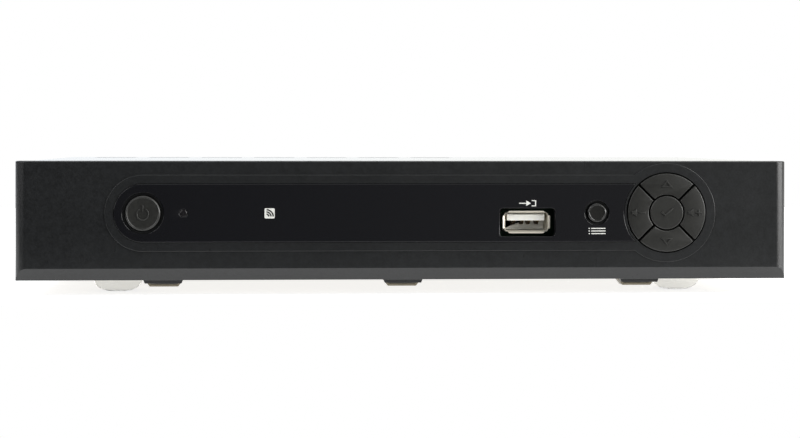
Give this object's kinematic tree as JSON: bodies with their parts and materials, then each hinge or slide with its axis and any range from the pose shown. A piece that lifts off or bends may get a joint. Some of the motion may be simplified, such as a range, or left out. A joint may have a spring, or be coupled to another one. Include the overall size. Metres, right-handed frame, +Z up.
{
  "type": "digital television receiver",
  "caption": "Low black steel-cased television receiver with a moulded front: power button, smoked window, serial socket, menu button and a round key ring; sockets at the rear.",
  "frame": {"origin": "on the surface the feet stand on, under the middle of the whole object", "axes": "+Z up, the front panel faces -Y, +X to the right as seen from the front"},
  "size_m": [0.226, 0.1606, 0.0394],
  "materials": {
    "panel_plastic": "fine satin texture",
    "window_plastic": "smooth, dark smoked",
    "key_plastic": "fine satin texture",
    "cover_paint": "satin black paint",
    "zinc_steel": "zinc coated, dull bright",
    "board_laminate": "green solder resist",
    "paper_laminate": "tan paper laminate",
    "lamp_resin": "tinted clear resin",
    "black_plastic": "moulded",
    "bright_steel": "nickel plated",
    "white_plastic": "moulded",
    "gilt_contact": "bright",
    "black_screw": "black finish",
    "yellow_plastic": "moulded",
    "red_plastic": "moulded",
    "black_aluminium": "black anodised",
    "can_sleeve": "printed sleeve without marks",
    "tape_yellow": "film tape",
    "ferrite": "sintered",
    "clear_glass": "clear tube with end caps",
    "cable_sleeve": "flat cable",
    "clear_silicone": "soft, milky clear",
    "plunger_plastic": "moulded"
  },
  "bodies": {
    "receiver": {"aerial_barrels": "bright_steel", "aerial_insulators": "white_plastic", "aerial_pins": "gilt_contact", "base_pan": "zinc_steel", "board_chips": "black_plastic", "board_screws": "zinc_steel", "cable_headers": "white_plastic", "clock_crystal": "bright_steel", "cover_screws": "black_screw", "display_module": "black_plastic", "foot_front_left": "clear_silicone", "foot_front_right": "clear_silicone", "foot_rear_left": "clear_silicone", "foot_rear_right": "clear_silicone", "front_board": "board_laminate", "front_panel": "panel_plastic", "front_window": "window_plastic", "infrared_receiver": "black_plastic", "jack_barrels": "bright_steel", "jack_block": "black_plastic", "key_switches": "black_plastic", "left_sound_jack_insert": "white_plastic", "main_board": "board_laminate", "main_board_capacitors": "can_sleeve", "mains_fuse": "clear_glass", "mains_inlet": "black_plastic", "mains_pins": "gilt_contact", "picture_jack_insert": "yellow_plastic", "picture_socket_shell": "bright_steel", "picture_socket_tongue": "black_plastic", "port_contacts": "gilt_contact", "port_shell": "bright_steel", "port_tongue": "white_plastic", "processor_heat_sink": "black_aluminium", "rear_wall": "zinc_steel", "ribbon_cable": "cable_sleeve", "right_sound_jack_insert": "red_plastic", "standby_lamp": "lamp_resin", "supply_board": "paper_laminate", "supply_lead": "cable_sleeve", "supply_main_capacitor": "can_sleeve", "supply_output_capacitors": "can_sleeve", "top_cover": "cover_paint", "transformer_bobbin": "tape_yellow", "transformer_core": "ferrite", "tuner_can": "bright_steel"},
    "power_control": {"power_button": "key_plastic", "power_plunger": "plunger_plastic"},
    "menu_control": {"menu_button": "key_plastic", "menu_plunger": "plunger_plastic"},
    "ok_control": {"ok_key": "key_plastic", "ok_plunger": "plunger_plastic"},
    "channel_up_control": {"channel_up_key": "key_plastic", "channel_up_plunger": "plunger_plastic"},
    "channel_down_control": {"channel_down_key": "key_plastic", "channel_down_plunger": "plunger_plastic"},
    "volume_up_control": {"volume_up_key": "key_plastic", "volume_up_plunger": "plunger_plastic"},
    "volume_down_control": {"volume_down_key": "key_plastic", "volume_down_plunger": "plunger_plastic"}
  },
  "joints": [
    {"name": "power_press", "type": "slide", "parent": "receiver", "child": "power_control", "axis": [0, 1, 0], "range_m": [0, 0.0004], "stiffness_N_per_m": 3000},
    {"name": "menu_press", "type": "slide", "parent": "receiver", "child": "menu_control", "axis": [0, 1, 0], "range_m": [0, 0.0004], "stiffness_N_per_m": 3000},
    {"name": "ok_press", "type": "slide", "parent": "receiver", "child": "ok_control", "axis": [0, 1, 0], "range_m": [0, 0.0004], "stiffness_N_per_m": 3000},
    {"name": "channel_up_press", "type": "slide", "parent": "receiver", "child": "channel_up_control", "axis": [0, 1, 0], "range_m": [0, 0.0004], "stiffness_N_per_m": 3000},
    {"name": "channel_down_press", "type": "slide", "parent": "receiver", "child": "channel_down_control", "axis": [0, 1, 0], "range_m": [0, 0.0004], "stiffness_N_per_m": 3000},
    {"name": "volume_up_press", "type": "slide", "parent": "receiver", "child": "volume_up_control", "axis": [0, 1, 0], "range_m": [0, 0.0004], "stiffness_N_per_m": 3000},
    {"name": "volume_down_press", "type": "slide", "parent": "receiver", "child": "volume_down_control", "axis": [0, 1, 0], "range_m": [0, 0.0004], "stiffness_N_per_m": 3000}
  ]
}
